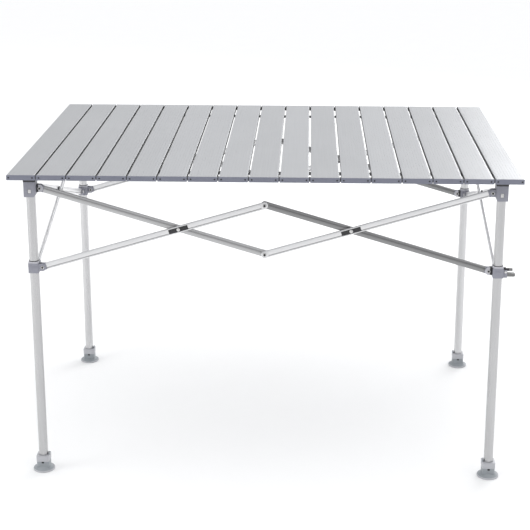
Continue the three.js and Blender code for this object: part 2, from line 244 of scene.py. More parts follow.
CORNERS = [(depth, side) for depth in ("front", "rear") for side in ("left", "right")]
LEG_RADIUS = 10 * MM
LEG_WALL = 1.3 * MM
LEG_FIT = 0.3 * MM
ROUND_SIDES = 48
LOCK_HOLE_RADIUS = 3 * MM
LOCK_HOLE_ABOVE_PIVOT = 7 * MM
PIVOT_ABOVE_SKIRT = 17 * MM
NEAR = 0.01 * MM


def centre_of(node):
    low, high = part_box(node)
    return (low + high) / 2


TOP_PIVOT_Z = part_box("corner_bracket_front_left")[0].z + PIVOT_ABOVE_SKIRT
COLLAR_Z = centre_of("collar_front_left").z
METAL_LINE_DEPTH = 0.03 * MM


def drawn_metal(name, colour, roughness, turn, scale):
    """Satin anodised aluminium with fine lines along the way it was drawn or extruded."""
    metal = Nodes(bpy.data.materials.new(name))
    along = metal.stretched(turn, scale)
    lines = metal.noise(along, 1.0, 4.0, 0.62)
    fine = metal.noise(along, 3.3, 2.0)
    cloud = metal.noise(metal.place(), 7.0, 3.0)
    darker = [c * 0.80 for c in colour[:3]] + [1.0]
    shade = lines * 0.65 + cloud * 0.35
    return metal.surface(
        Base_Color=metal.mixed(shade, colour, darker),
        Metallic=0.86,
        Roughness=roughness - 0.09 + lines * 0.12 + cloud * 0.08,
        Normal=metal.bump(lines * 0.6 + fine * 0.4, 0.30, METAL_LINE_DEPTH),
    )


def solid_block(low, high):
    made = bmesh.new()
    bmesh.ops.create_cube(made, size=1.0)
    low, high = Vector(low), Vector(high)
    bmesh.ops.scale(made, vec=high - low, verts=made.verts)
    bmesh.ops.translate(made, vec=(low + high) / 2, verts=made.verts)
    return made


def round_bar(radius, low, high, sides=32, axis="Z"):
    """A solid cylinder about an axis through the origin."""
    made = bmesh.new()
    bmesh.ops.create_cone(
        made, cap_ends=True, segments=sides, radius1=radius, radius2=radius, depth=high - low
    )
    bmesh.ops.translate(made, vec=(0, 0, (low + high) / 2), verts=made.verts)
    if axis != "Z":
        turn = Matrix.Rotation(pi / 2, 4, "Y") if axis == "X" else Matrix.Rotation(-pi / 2, 4, "X")
        bmesh.ops.transform(made, matrix=turn, verts=made.verts)
    return made


def put(made, matrix):
    """Moves a shape to its place, with its faces still outward after a mirroring."""
    bmesh.ops.transform(made, matrix=matrix, verts=made.verts)
    if matrix.determinant() < 0:
        bmesh.ops.reverse_faces(made, faces=made.faces)
    return made


def joined(first, *others):
    """first with the other shapes added to it."""
    for other in others:
        carrier = bpy.data.meshes.new("carrier")
        other.to_mesh(carrier)
        other.free()
        first.from_mesh(carrier)
        bpy.data.meshes.remove(carrier)
    return first


def carved(made, *cutters):
    """made with the cutters' shapes taken out of it."""
    temporary = []
    for shape in (made, *cutters):
        mesh = bpy.data.meshes.new("carving")
        shape.to_mesh(mesh)
        shape.free()
        temporary.append(bpy.data.objects.new("carving", mesh))
        bpy.context.scene.collection.objects.link(temporary[-1])
    for cutter in temporary[1:]:
        cut = temporary[0].modifiers.new("cut", "BOOLEAN")
        cut.operation, cut.solver, cut.object = "DIFFERENCE", "EXACT", cutter
    result = bmesh.new()
    result.from_object(temporary[0], bpy.context.evaluated_depsgraph_get())
    for item in temporary:
        mesh = item.data
        bpy.data.objects.remove(item)
        bpy.data.meshes.remove(mesh)
    return result


def sliced(made, point, normal, **options):
    """Cuts the faces that cross a plane; nothing moves, unless a side is cleared."""
    everything = [*made.verts, *made.edges, *made.faces]
    bmesh.ops.bisect_plane(made, geom=everything, plane_co=point, plane_no=normal, **options)


def sunk(made, face, by):
    """Pushes a face into a shape, and returns the faces that do so."""
    grown = bmesh.ops.extrude_face_region(made, geom=[face])["geom"]
    moved = [v for v in grown if isinstance(v, bmesh.types.BMVert)]
    bmesh.ops.translate(made, vec=by, verts=moved)
    if face.is_valid:
        bmesh.ops.delete(made, geom=[face], context="FACES_ONLY")
    return [f for f in grown if isinstance(f, bmesh.types.BMFace) and f.is_valid]


def runs_along(edge, axis, least=MM):
    """Whether an edge reaches further than a length along an axis."""
    return abs(edge.verts[0].co[axis] - edge.verts[1].co[axis]) > least


def end_edges(made, at, upright):
    """The edges at one end along x: those that stand upright, or those that lie flat."""
    return [
        e for e in made.edges
        if all(abs(v.co.x - at) < NEAR for v in e.verts) and runs_along(e, 2, NEAR) == upright
    ]


def softened(made, width, segments=2, sharper_than=40, chosen=None):
    """Rounds the edges that are sharper than an angle, or the chosen ones."""
    limit = radians(sharper_than)
    edges = chosen if chosen is not None else [
        e for e in made.edges if len(e.link_faces) == 2 and e.calc_face_angle() > limit
    ]
    bmesh.ops.bevel(
        made, geom=edges, offset=width, offset_type="OFFSET", affect="EDGES",
        segments=segments, profile=0.5, material=-1, clamp_overlap=True,
    )
    return made


def piece(name, made, finishes, body, slot, *stands_for, smooth_below=38):
    """A finished mesh as a piece of the table that moves with one body of the frame."""
    bmesh.ops.remove_doubles(made, verts=made.verts, dist=1e-6)
    for face in made.faces:
        face.smooth = True
    for edge in made.edges:
        edge.smooth = len(edge.link_faces) == 2 and edge.calc_face_angle() < radians(smooth_below)
    mesh = bpy.data.meshes.new(name)
    made.to_mesh(mesh)
    made.free()
    for finish in finishes if isinstance(finishes, list) else [finishes]:
        mesh.materials.append(finish)
    made_piece = bpy.data.objects.new(name, mesh)
    bpy.context.scene.collection.objects.link(made_piece)
    if body:
        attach(made_piece, body)
    if stands_for:
        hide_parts(*stands_for)
    return made_piece


# The front legs' metal is darker and the rear legs' paler: painted light, one metal in a shaded
# and a lit copy.
LEG_LIT_AND_SHADED_TONES = {"front": 0.57, "rear": 0.68}
leg_metals = {
    depth: drawn_metal(
        f"leg_metal_{depth}", grey(shade, blue=1.01), 0.28, turn=(0, 0, 0), scale=(260, 260, 5)
    )
    for depth, shade in LEG_LIT_AND_SHADED_TONES.items()
}

for depth, side in CORNERS:
    node = f"leg_{depth}_{side}"
    low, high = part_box(node)
    centre = centre_of(node)
    tube = bmesh.new()
    bmesh.ops.create_circle(tube, cap_ends=False, segments=ROUND_SIDES, radius=LEG_RADIUS)
    wall = bmesh.ops.extrude_edge_only(tube, edges=tube.edges)["geom"]
    rim = [v for v in wall if isinstance(v, bmesh.types.BMVert)]
    bmesh.ops.translate(tube, vec=(0, 0, high.z - low.z), verts=rim)
    bmesh.ops.recalc_face_normals(tube, faces=tube.faces)
    bmesh.ops.solidify(tube, geom=tube.faces, thickness=LEG_WALL)
    put(tube, Matrix.Translation((centre.x, centre.y, low.z)))
    if node == "leg_front_right":
        hole = round_bar(LOCK_HOLE_RADIUS, 0, 2 * LEG_RADIUS, 24, "X")
        put(hole, Matrix.Translation((centre.x, centre.y, COLLAR_Z + LOCK_HOLE_ABOVE_PIVOT)))
        tube = carved(tube, hole)
    piece(f"tube_{depth}_{side}", tube, leg_metals[depth], f"frame_{depth}_{side}",
          "leg_aluminium", node)

# ---- Corner brackets -------------------------------------------------------------------------
# Moulded in blue-grey nylon and pressed onto the tops of the legs, where a bright spring clip
# holds them. Two pairs of ears take the crossed bars; in the inner layer their roots are painted
# black, as shade. A black cap carries the slats and reaches down the post: partly a rest pad,
# partly painted shadow of the slats.

BRACKET_HALF = 13 * MM
BRACKET_ROUND = 2 * MM
BRACKET_TOP_Z = 674.5 * MM
PAD_HALF = 13.2 * MM
PAD_TOP_Z = 688.7 * MM
PIVOT_REACH = 19.5 * MM
EAR_HALF_HEIGHT = 8 * MM
EAR_THICKNESS = 3 * MM
EAR_SLOT_HALF = 3.3 * MM
EAR_SHADED_ROOT_END = 17.0 * MM
EAR_START = 10.7 * MM
EAR_START_AT_CORNER = 9.6 * MM
CORNER_FROM = 5 * MM
EAR_SOFTENING = 0.5 * MM
END_SEGMENTS = 10
END_SHARE = 0.998
WELD = 0.03 * MM
SKIRT = 9 * MM
SKIRT_CUT = 4 * MM
SKIRT_SLOPE = 0.62
POCKET_START = 11.4 * MM
POCKET_FIT = 0.4 * MM
BRACKET_RIM = 0.7 * MM
PAD_ROUND, PAD_RIM = 1.5 * MM, 0.6 * MM
PIN_RADIUS = 2.4 * MM
PIN_HEAD_RADIUS = 3.9 * MM
PIN_HEAD_HEIGHT = 1.5 * MM
HOLLOW_RIM, HOLLOW_FLOOR = 0.12 * MM, 0.10 * MM
CLIP_HALF_WIDTH = 3.2 * MM
CLIP_HALF_HEIGHT = 4.2 * MM
CLIP_THICKNESS = 1.5 * MM
CLIP_RECESS = 1.6 * MM
CLIP_FIT = 0.6 * MM
CLIP_SLOT_X = (-2.3 * MM, 1.4 * MM)
CLIP_SLOT_Z = (-1.1 * MM, 0.7 * MM)
CLIP_SLOT_FLOOR = 0.5 * MM
CLIP_EDGE = 0.5 * MM
CLIP_Z = TOP_PIVOT_Z - 4 * MM
GRAIN_DEPTH = 0.04 * MM


def moulded(name, colour, worn, roughness):
    """Moulded nylon: a fine spark-eroded grain, and a slight bloom where it is handled."""
    nylon = Nodes(bpy.data.materials.new(name))
    grain_height = nylon.noise(nylon.place(), 900.0, 3.0, 0.6)
    bloom = nylon.noise(nylon.place(), 34.0, 4.0, 0.6)
    fleck = nylon.noise(nylon.place(), 260.0, 2.0)
    share = (bloom * 1.7 - 0.35) * 0.7 + fleck * 0.3
    return nylon.surface(
        Base_Color=nylon.mixed(share, colour, worn),
        Roughness=roughness - 0.10 + bloom * 0.14 + fleck * 0.06,
        Normal=nylon.bump(grain_height, 0.35, GRAIN_DEPTH),
    )


blue_nylon = moulded("blue_nylon", (0.235, 0.238, 0.282, 1), (0.300, 0.303, 0.345, 1), 0.46)
pale_nylon = moulded("pale_nylon", (0.440, 0.440, 0.480, 1), (0.520, 0.520, 0.555, 1), 0.44)
# Black nylon for the black parts; the same black is also painted into hollows, notches and ear
# roots as shade.
black_nylon_and_painted_shade = moulded("black_nylon_and_painted_shade", (0.012, 0.012, 0.014, 1), (0.030, 0.030, 0.033, 1), 0.42)

steel = Nodes(bpy.data.materials.new("rivet_steel"))
swirl = steel.noise(steel.place(), 420.0, 3.0)
rivet_metal = steel.surface(
    Base_Color=steel.mixed(swirl, grey(0.74, 1, 0.99, 0.98), grey(0.52)),
    Metallic=1.0,
    Roughness=0.20 + swirl * 0.18,
    Normal=steel.bump(swirl, 0.2, METAL_LINE_DEPTH),
)


def square_post(half, rounding, low, high, rim):
    """A square post about the z axis with rounded upright edges and softened rims."""
    post = solid_block((-half, -half, low), (half, half, high))
    upright = [e for e in post.edges if runs_along(e, 2, (high - low) / 2)]
    softened(post, rounding, 4, chosen=upright)
    return softened(post, rim, 2, 60)


def ear(start, layer, side, outer_layer):
    """One ear of a fork that opens along +x, with its round end about the pin. In the inner
    layer of bars its root is painted black, as the shade between post and ear, and its end is
    pale."""
    inner = layer + side * EAR_SLOT_HALF
    outer = inner + side * EAR_THICKNESS
    plate = solid_block(
        (start, min(inner, outer), -EAR_HALF_HEIGHT),
        (PIVOT_REACH + EAR_HALF_HEIGHT, max(inner, outer), EAR_HALF_HEIGHT),
    )
    tips = end_edges(plate, PIVOT_REACH + EAR_HALF_HEIGHT, upright=False)
    softened(plate, EAR_HALF_HEIGHT * END_SHARE, END_SEGMENTS, chosen=tips)
    bmesh.ops.remove_doubles(plate, verts=plate.verts, dist=WELD)
    softened(plate, EAR_SOFTENING, 2, 60)
    sliced(plate, (EAR_SHADED_ROOT_END, 0, 0), (1, 0, 0))
    # In the inner layer the root's faces are painted black, as shade.
    for face in plate.faces:
        if not outer_layer:
            face.material_index = 1 if face.calc_center_median().x < EAR_SHADED_ROOT_END else 2
    return plate


def fork(layer, outer_layer):
    """The two ears of a fork, each reaching into the post that carries them."""
    ears = []
    for side in (-1, 1):
        middle = layer + side * (EAR_SLOT_HALF + EAR_THICKNESS / 2)
        start = EAR_START_AT_CORNER if abs(middle) > CORNER_FROM else EAR_START
        ears.append(ear(start, layer, side, outer_layer))
    return joined(*ears)


def turned(from_leg, axis):
    """The way a fork faces: along the table for axis 0, across it for axis 1."""
    sign = 1 if from_leg[axis] < 0 else -1
    angle = (0 if sign > 0 else pi) if axis == 0 else sign * pi / 2
    return Matrix.Rotation(angle, 4, "Z")


def layers_at(depth, side, upper, centre):
    """For each of a corner's two forks: the way it faces, its bar's layer in the fork's own
    frame, and whether that is the outer layer."""
    end_bar = "upper" if upper == (depth == "front") else "lower"
    along = centre_of(f"{depth}_bar_{side}_{'upper' if upper else 'lower'}") - centre
    across = centre_of(f"{side}_bar_{end_bar}_front") - centre
    result = []
    for axis, offset in ((0, along), (1, across)):
        way = turned(centre, axis)
        local = way.inverted() @ Vector((offset.x, offset.y, 0))
        result.append((way, local.y, offset[1 - axis] * centre[1 - axis] > 0))
    return result


def lathe(profile, steps=32, axis="Z"):
    """A turned shape: a profile of radius and height, turned about an axis."""
    made = bmesh.new()
    verts = [made.verts.new((radius, 0, height)) for radius, height in profile]
    edges = [made.edges.new(pair) for pair in zip(verts, verts[1:])]
    bmesh.ops.spin(
        made, geom=verts + edges, cent=(0, 0, 0), axis=(0, 0, 1), dvec=(0, 0, 0),
        angle=2 * pi, steps=steps, use_merge=True, use_duplicate=False,
    )
    bmesh.ops.remove_doubles(made, verts=made.verts, dist=1e-7)
    bmesh.ops.recalc_face_normals(made, faces=made.faces)
    if axis == "Y":
        put(made, Matrix.Rotation(-pi / 2, 4, "X"))
    if axis == "X":
        put(made, Matrix.Rotation(pi / 2, 4, "Y"))
    return made


def domed_pin(radius, head_radius, half_length, head_height):
    """A pin with a domed head at each end, about the y axis."""
    head = [
        (head_radius, half_length), (head_radius * 0.97, half_length + head_height * 0.35),
        (head_radius * 0.80, half_length + head_height * 0.78),
        (head_radius * 0.45, half_length + head_height * 0.97), (0, half_length + head_height),
    ]
    upper = [(radius, half_length), *head]
    lower = [(r, -h) for r, h in reversed(upper)]
    return lathe([*lower, *upper], 24, "Y")


def hollow_rivet(radius, head_radius, half_length, head_height):
    """A tubular rivet about the y axis with rolled rims, its two hollow ends painted black as
    shade.
    """
    hollow = head_radius * 0.58
    rim = [
        (head_radius, half_length), (head_radius * 0.97, half_length + head_height * 0.6),
        (head_radius * 0.86, half_length + head_height * 0.95),
        (head_radius * 0.74, half_length + head_height),
        (head_radius * 0.63, half_length + head_height * 0.8),
        (hollow, half_length + HOLLOW_RIM), (0, half_length + HOLLOW_FLOOR),
    ]
    upper = [(radius, half_length), *rim]
    lower = [(r, -h) for r, h in reversed(upper)]
    made = lathe([*lower, *upper], 28, "Y")
    # The floor of each hollow is painted black, as the shade in it.
    for face in made.faces:
        middle = face.calc_center_median()
        face.material_index = int(Vector((middle.x, middle.z)).length < hollow * 1.03
                                  and abs(middle.y) > half_length)
    return made


def spring_clip():
    """A bright clip with a slot across it, facing -y, with its back at y = 0."""
    plate = solid_block((-CLIP_HALF_WIDTH, -CLIP_THICKNESS, -CLIP_HALF_HEIGHT),
                        (CLIP_HALF_WIDTH, 0, CLIP_HALF_HEIGHT))
    softened(plate, CLIP_EDGE, 3)
    slot = solid_block((CLIP_SLOT_X[0], -2 * CLIP_THICKNESS, CLIP_SLOT_Z[0]),
                       (CLIP_SLOT_X[1], -CLIP_SLOT_FLOOR, CLIP_SLOT_Z[1]))
    return carved(plate, slot)


def fork_pins(part, corner, body, forks, at):
    """The pins of a corner's two forks: tubular rivets through the ears."""
    for axis, (way, layer, _) in zip(("x", "y"), forks):
        pin = hollow_rivet(PIN_RADIUS, PIN_HEAD_RADIUS, EAR_SLOT_HALF + EAR_THICKNESS,
                           PIN_HEAD_HEIGHT)
        put(pin, at @ way @ Matrix.Translation((PIVOT_REACH, layer, 0)))
        piece(f"{part}_pin_{axis}_{corner}", pin, [rivet_metal, black_nylon_and_painted_shade], body,
              "rivet_steel")


for depth, side in CORNERS:
    corner = f"{depth}_{side}"
    body = f"frame_{corner}"
    leg = centre_of(f"leg_{corner}")
    here = Matrix.Translation((leg.x, leg.y, 0))
    out_y = -1 if depth == "front" else 1
    bottom = TOP_PIVOT_Z - EAR_HALF_HEIGHT - SKIRT
    forks = layers_at(depth, side, True, leg)

    post = square_post(BRACKET_HALF, BRACKET_ROUND, bottom, BRACKET_TOP_Z, BRACKET_RIM)
    for way, _, _ in forks:
        facing = way @ Vector((1, 0, 0))
        cut_at = way @ Vector((BRACKET_HALF - SKIRT_CUT, 0, bottom))
        sliced(post, cut_at, (facing.x, facing.y, -SKIRT_SLOPE), clear_outer=True)
        rim = [e for e in post.edges if e.is_boundary]
        bmesh.ops.holes_fill(post, edges=rim, sides=0)
    leg_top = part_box(f"leg_{corner}")[1].z
    cutters = [round_bar(LEG_RADIUS + LEG_FIT, bottom - MM, leg_top, ROUND_SIDES)]
    for way, layer, _ in forks:
        pocket = solid_block(
            (POCKET_START, layer - EAR_SLOT_HALF, bottom - MM),
            (BRACKET_HALF + MM, layer + EAR_SLOT_HALF, TOP_PIVOT_Z + EAR_HALF_HEIGHT + POCKET_FIT),
        )
        cutters.append(put(pocket, way))
    clip_face = Matrix.Translation((0, out_y * BRACKET_HALF, CLIP_Z))
    if out_y > 0:
        clip_face = clip_face @ Matrix.Rotation(pi, 4, "Z")
    seat = solid_block(
        (-CLIP_HALF_WIDTH - CLIP_FIT, -MM, -CLIP_HALF_HEIGHT - CLIP_FIT),
        (CLIP_HALF_WIDTH + CLIP_FIT, CLIP_RECESS, CLIP_HALF_HEIGHT + CLIP_FIT),
    )
    cutters.append(put(seat, clip_face))
    post = carved(post, *cutters)
    pivot_height = Matrix.Translation((0, 0, TOP_PIVOT_Z))
    for way, layer, outer_layer in forks:
        joined(post, put(fork(layer, outer_layer), pivot_height @ way))
    piece(f"bracket_{corner}", put(post, here), [blue_nylon, black_nylon_and_painted_shade, pale_nylon], body,
          "joint_plastic", f"corner_bracket_{corner}")

    # The black cap reaches down the post below the slats: partly a rest pad, partly painted
    # shadow.
    pad = square_post(PAD_HALF, PAD_ROUND, BRACKET_TOP_Z - PAD_RIM, PAD_TOP_Z, PAD_RIM)
    piece(f"rest_pad_{corner}", put(pad, here), black_nylon_and_painted_shade, body, "insert_plastic")

    clip = put(spring_clip(), clip_face @ Matrix.Translation((0, CLIP_RECESS, 0)))
    piece(f"bracket_clip_{corner}", put(clip, here), rivet_metal, body, "rivet_steel")

    fork_pins("bracket", corner, body, forks, here @ pivot_height)

# ---- Sliding collars -------------------------------------------------------------------------
# Moulded in the same nylon, free to run up and down the legs, with two forks for the lower
# ends of the bars. Each has a light rim and a black wiper ring at its top, and a finger ridge
# on its outer faces; the front right one has the lugs and the finger tab of the lock.

COLLAR_HALF = 11.5 * MM
COLLAR_ROUND = 3 * MM
COLLAR_HALF_HEIGHT = 13 * MM
COLLAR_BORE = LEG_RADIUS + 0.4 * MM
BORE_REACH = 20 * MM
RIM_FROM = 9.4 * MM
RIM_HALF = 11.0 * MM
RIDGE_LOW = (-7.5 * MM, 0, 1.0 * MM)
RIDGE_HIGH = (7.5 * MM, 1.1 * MM, 3.4 * MM)
COLLAR_EDGE, RIM_EDGE, RIDGE_EDGE = 0.8 * MM, 0.6 * MM, 0.5 * MM
RIDGE_SINK = 0.3 * MM
LOCK_HALF = 4.25 * MM
LOCK_SLOT_BOTTOM = -4.5 * MM
LOCK_SLOT_TOP = 14 * MM
LUG_THICKNESS = 2.5 * MM
LUG_START = 10.6 * MM
LUG_END = 19.5 * MM
LUG_BOTTOM = -12.6 * MM
LUG_TOP = 4.5 * MM
LUG_EDGE = 0.7 * MM
FINGER_TAB_START = 10.8 * MM
FINGER_TAB_END = 37 * MM
FINGER_TAB_TOP = -3.8 * MM
FINGER_TAB_BOTTOM = -10.2 * MM
FINGER_TAB_HALF = LOCK_HALF + LUG_THICKNESS - 0.3 * MM
FINGER_TAB_CORNER, FINGER_TAB_EDGE = 4 * MM, 0.8 * MM
WIPER_RADIUS = 10.9 * MM
WIPER_SINK, WIPER_RISE = 0.5 * MM, 1.1 * MM

tab_nylon = moulded("tab_nylon", (0.150, 0.149, 0.150, 1), (0.205, 0.203, 0.203, 1), 0.50)

for depth, side in CORNERS:
    corner = f"{depth}_{side}"
    body = f"collar_{corner}"
    leg = centre_of(f"leg_{corner}")
    here = Matrix.Translation((leg.x, leg.y, COLLAR_Z))
    out_x = -1 if side == "left" else 1
    out_y = -1 if depth == "front" else 1
    forks = layers_at(depth, side, False, leg)
    has_lock = corner == "front_right"
    post = square_post(COLLAR_HALF, COLLAR_ROUND, -COLLAR_HALF_HEIGHT, RIM_FROM, COLLAR_EDGE)
    rim = square_post(RIM_HALF, COLLAR_ROUND, RIM_FROM - MM, COLLAR_HALF_HEIGHT, RIM_EDGE)
    bored = []
    for part, slot_from in ((post, LOCK_SLOT_BOTTOM), (rim, 0)):
        cutters = [round_bar(COLLAR_BORE, -BORE_REACH, BORE_REACH, ROUND_SIDES)]
        if has_lock:
            cutters.append(solid_block((0, -LOCK_HALF, slot_from),
                                       (LUG_END, LOCK_HALF, LOCK_SLOT_TOP)))
        bored.append(carved(part, *cutters))
    for face in bored[1].faces:
        face.material_index = 2
    post = joined(*bored)
    # As on the brackets, the roots of the inner layer's ears are painted black, as shade.
    for way, layer, outer_layer in forks:
        joined(post, put(fork(layer, outer_layer), way))
    ridges = [(1, out_y)] if has_lock else [(1, out_y), (0, out_x)]
    for axis, out in ridges:
        ridge = softened(solid_block(RIDGE_LOW, RIDGE_HIGH), RIDGE_EDGE)
        spot = Matrix.Translation((0, COLLAR_HALF - RIDGE_SINK, 0))
        angle = (0 if out > 0 else pi) if axis == 1 else -out * pi / 2
        joined(post, put(ridge, Matrix.Rotation(angle, 4, "Z") @ spot))
    if has_lock:
        for way in (-1, 1):
            span = sorted((way * LOCK_HALF, way * (LOCK_HALF + LUG_THICKNESS)))
            lug = solid_block((LUG_START, span[0], LUG_BOTTOM), (LUG_END, span[1], LUG_TOP))
            joined(post, softened(lug, LUG_EDGE, 3))
        tab = solid_block((FINGER_TAB_START, -FINGER_TAB_HALF, FINGER_TAB_BOTTOM),
                          (FINGER_TAB_END, FINGER_TAB_HALF, FINGER_TAB_TOP))
        tips = end_edges(tab, FINGER_TAB_END, upright=True)
        softened(tab, FINGER_TAB_CORNER, 6, chosen=tips)
        softened(tab, FINGER_TAB_EDGE, 3, 60)
        for face in tab.faces:
            face.material_index = 3
        joined(post, tab)
    wiper = carved(
        round_bar(WIPER_RADIUS, COLLAR_HALF_HEIGHT - WIPER_SINK,
                  COLLAR_HALF_HEIGHT + WIPER_RISE, ROUND_SIDES),
        round_bar(COLLAR_BORE, 0, BORE_REACH, ROUND_SIDES),
    )
    piece(f"collar_wiper_{corner}", put(wiper, here), black_nylon_and_painted_shade, body, "insert_plastic")
    finishes = [blue_nylon, black_nylon_and_painted_shade, pale_nylon, tab_nylon]
    piece(f"slider_{corner}", put(post, here), finishes, body, "joint_plastic", body)
    fork_pins("collar", corner, body, forks, here)

# ---- Feet ------------------------------------------------------------------------------------
# Moulded in grey plastic: a round sole that rises in a cone to a square socket, pressed onto
# the leg, with a lip round its mouth and a tab on its inner side to pull it by.

FOOT_HALF = 14 * MM
FOOT_ROUND = 4 * MM
FOOT_TOP = 36 * MM
FOOT_LIP_FROM = 22.5 * MM
FOOT_LIP_HALF = 14.6 * MM
FOOT_TAB_TOP = 41 * MM
SOCKET_FROM, SOCKET_BELOW_LIP = 4 * MM, 0.4 * MM
SOCKET_EDGE, LIP_EDGE, FOOT_TAB_EDGE = 0.5 * MM, 0.9 * MM, 0.9 * MM
FOOT_TAB_HALF = 5 * MM
FOOT_TAB_SINK = 4 * MM
FOOT_TAB_THICKNESS = 2.4 * MM
FOOT_BORE_FLOOR = 6 * MM
NOTCH_HALF = 2.6 * MM
NOTCH_FROM = 18.6 * MM
NOTCH_DEPTH = 2.2 * MM
SOLE_RIM_RADIUS = 22.6 * MM
SOLE_RIM_TOP = 4 * MM

grey_plastic = moulded("grey_plastic", (0.235, 0.258, 0.278, 1), (0.315, 0.336, 0.355, 1), 0.48)
lip_plastic = moulded("lip_plastic", (0.40, 0.405, 0.43, 1), (0.48, 0.485, 0.51, 1), 0.46)
SOLE_PROFILE = [
    (0, 0), (11, 0), (11.4, 0.7), (13.6, 0.7), (14, 0), (18, 0), (18.4, 0.7), (20.6, 0.7), (21, 0),
    (23.2, 0), (23.8, 0.3), (24, 0.9), (24, 2.8), (23.7, 3.6), (22.8, 4.1), (21.6, 4.6),
    (17.6, 7.6), (16.0, 9.0), (14.6, 10.0), (13.2, 10.7), (0, 10.7),
]

for depth, side in CORNERS:
    corner = f"{depth}_{side}"
    leg = centre_of(f"leg_{corner}")
    here = Matrix.Translation((leg.x, leg.y, 0))
    inward = 1 if side == "left" else -1
    sole = lathe([(r * MM, h * MM) for r, h in SOLE_PROFILE], 72)
    socket = square_post(FOOT_HALF, FOOT_ROUND, SOCKET_FROM, FOOT_TOP - SOCKET_BELOW_LIP,
                         SOCKET_EDGE)
    lip = square_post(FOOT_LIP_HALF, FOOT_ROUND, FOOT_LIP_FROM, FOOT_TOP, LIP_EDGE)
    bores = [
        round_bar(LEG_RADIUS + LEG_FIT, FOOT_BORE_FLOOR, FOOT_BORE_FLOOR + 1.5 * FOOT_TOP,
                  ROUND_SIDES)
        for _ in range(3)
    ]
    lip = carved(lip, bores[2])
    for face in lip.faces:
        face.material_index = 1
    notches = [
        solid_block((-NOTCH_HALF, near_y, NOTCH_FROM),
                    (NOTCH_HALF, near_y + NOTCH_DEPTH + MM, FOOT_LIP_FROM))
        for near_y in (-FOOT_HALF - MM, FOOT_HALF - NOTCH_DEPTH)
    ]
    socket = carved(socket, bores[1], *notches)
    # The notches' floors are painted black, as the shade in them.
    for face in socket.faces:
        middle = face.calc_center_median()
        sunken = FOOT_HALF - NOTCH_DEPTH - 0.2 * MM < abs(middle.y) < FOOT_HALF - SOCKET_EDGE
        if sunken and abs(middle.x) <= NOTCH_HALF * 1.01 and middle.z < FOOT_LIP_FROM + MM:
            face.material_index = 2
    sole = carved(sole, bores[0])
    for face in sole.faces:
        middle = face.calc_center_median()
        if middle.z < SOLE_RIM_TOP and Vector((middle.x, middle.y)).length > SOLE_RIM_RADIUS:
            face.material_index = 1
    foot = joined(sole, socket, lip)
    tab = solid_block((-FOOT_TAB_THICKNESS, -FOOT_TAB_HALF, FOOT_TOP - FOOT_TAB_SINK),
                      (0, FOOT_TAB_HALF, FOOT_TAB_TOP))
    softened(tab, FOOT_TAB_EDGE, 3)
    spot = Matrix.Translation((inward * FOOT_HALF, 0, 0)) @ Matrix.Rotation(
        0 if inward > 0 else pi, 4, "Z"
    )
    joined(foot, put(tab, spot))
    piece(f"foot_cup_{corner}", put(foot, here), [grey_plastic, lip_plastic, black_nylon_and_painted_shade],
          f"frame_{corner}", "sole_plastic", f"foot_{corner}")

# ---- Crossed bars ----------------------------------------------------------------------------
# Flat aluminium extrusions with a groove along each face. Nylon plugs close their ends at the
# legs; at the centre joints they are pressed flat and round. The outer layer is painted brighter
# and the inner darker, the right inner bars darkest and the end bars brightest: painted light.
# The groove floors are painted darker, as shade.

BAR_HALF_HEIGHT = 7.5 * MM
BAR_HALF_THICKNESS = 3 * MM
BAR_ROUND = 2.2 * MM
GROOVE_DEPTH = 1.3 * MM
# The groove's lower and upper edge in each layer, and how much of the metal's brightness its floor
# keeps: painted shade in the groove.
OUTER_GROOVE = (-4.4 * MM, -2.8 * MM, 0.50)
INNER_GROOVE = (1.2 * MM, 5.0 * MM, 0.66)
DEPLOYED = radians(16.5)
OUTER_PLUG = 8.6 * MM
INNER_PLUG = 8 * MM
INSERT_HALF_LENGTH = 21.5 * MM
INSERT_HALF_HEIGHT = 5 * MM
INSERT_PROUD = 0.25 * MM
INSERT_CORNER, INSERT_EDGE = 1.2 * MM, 0.15 * MM
PLUG_EDGE = 0.6 * MM
PLUG_SHARE = 0.95
GROOVE_EDGE = 0.25 * MM
GROOVE_EDGE_ANGLE = 1.2
END_PIVOT_Y = abs(centre_of("leg_front_left").y) - PIVOT_REACH
SIDE_PIVOT_X = abs(centre_of("leg_front_left").x) - PIVOT_REACH
OUTER_ARM = END_PIVOT_Y / cos(DEPLOYED)
INNER_ARM = SIDE_PIVOT_X / cos(DEPLOYED) - OUTER_ARM


def bar_profile(start, end, groove_low, groove_high):
    """The extrusion between two cuts, with its rounded edges and the groove of each face."""
    profile = solid_block(
        (start, -BAR_HALF_THICKNESS, -BAR_HALF_HEIGHT), (end, BAR_HALF_THICKNESS, BAR_HALF_HEIGHT)
    )
    long_edges = [e for e in profile.edges if runs_along(e, 0)]
    softened(profile, BAR_ROUND, 5, chosen=long_edges)
    for height in (groove_low, groove_high):
        sliced(profile, (0, 0, height), (0, 0, 1))
    floors = [
        f for f in profile.faces
        if abs(f.normal.y) > 0.9 and groove_low < f.calc_center_median().z < groove_high
    ]
    # The groove's floor and walls take the darker second metal: painted shade in the groove.
    for floor_face in floors:
        for face in sunk(profile, floor_face, -floor_face.normal * GROOVE_DEPTH):
            face.material_index = 1
    lips = [
        e for e in profile.edges
        if len(e.link_faces) == 2 and e.calc_face_angle() > GROOVE_EDGE_ANGLE and runs_along(e, 0)
    ]
    return softened(profile, GROOVE_EDGE, chosen=lips)


def bar_plug(start, end, rounded_at_end):
    """A plug with one round end, about the pivot."""
    plug = solid_block(
        (start, -BAR_HALF_THICKNESS * PLUG_SHARE, -BAR_HALF_HEIGHT),
        (end, BAR_HALF_THICKNESS * PLUG_SHARE, BAR_HALF_HEIGHT),
    )
    tips = end_edges(plug, end if rounded_at_end else start, upright=False)
    softened(plug, BAR_HALF_HEIGHT * END_SHARE, END_SEGMENTS, chosen=tips)
    bmesh.ops.remove_doubles(plug, verts=plug.verts, dist=WELD)
    return softened(plug, PLUG_EDGE, 2, 60)


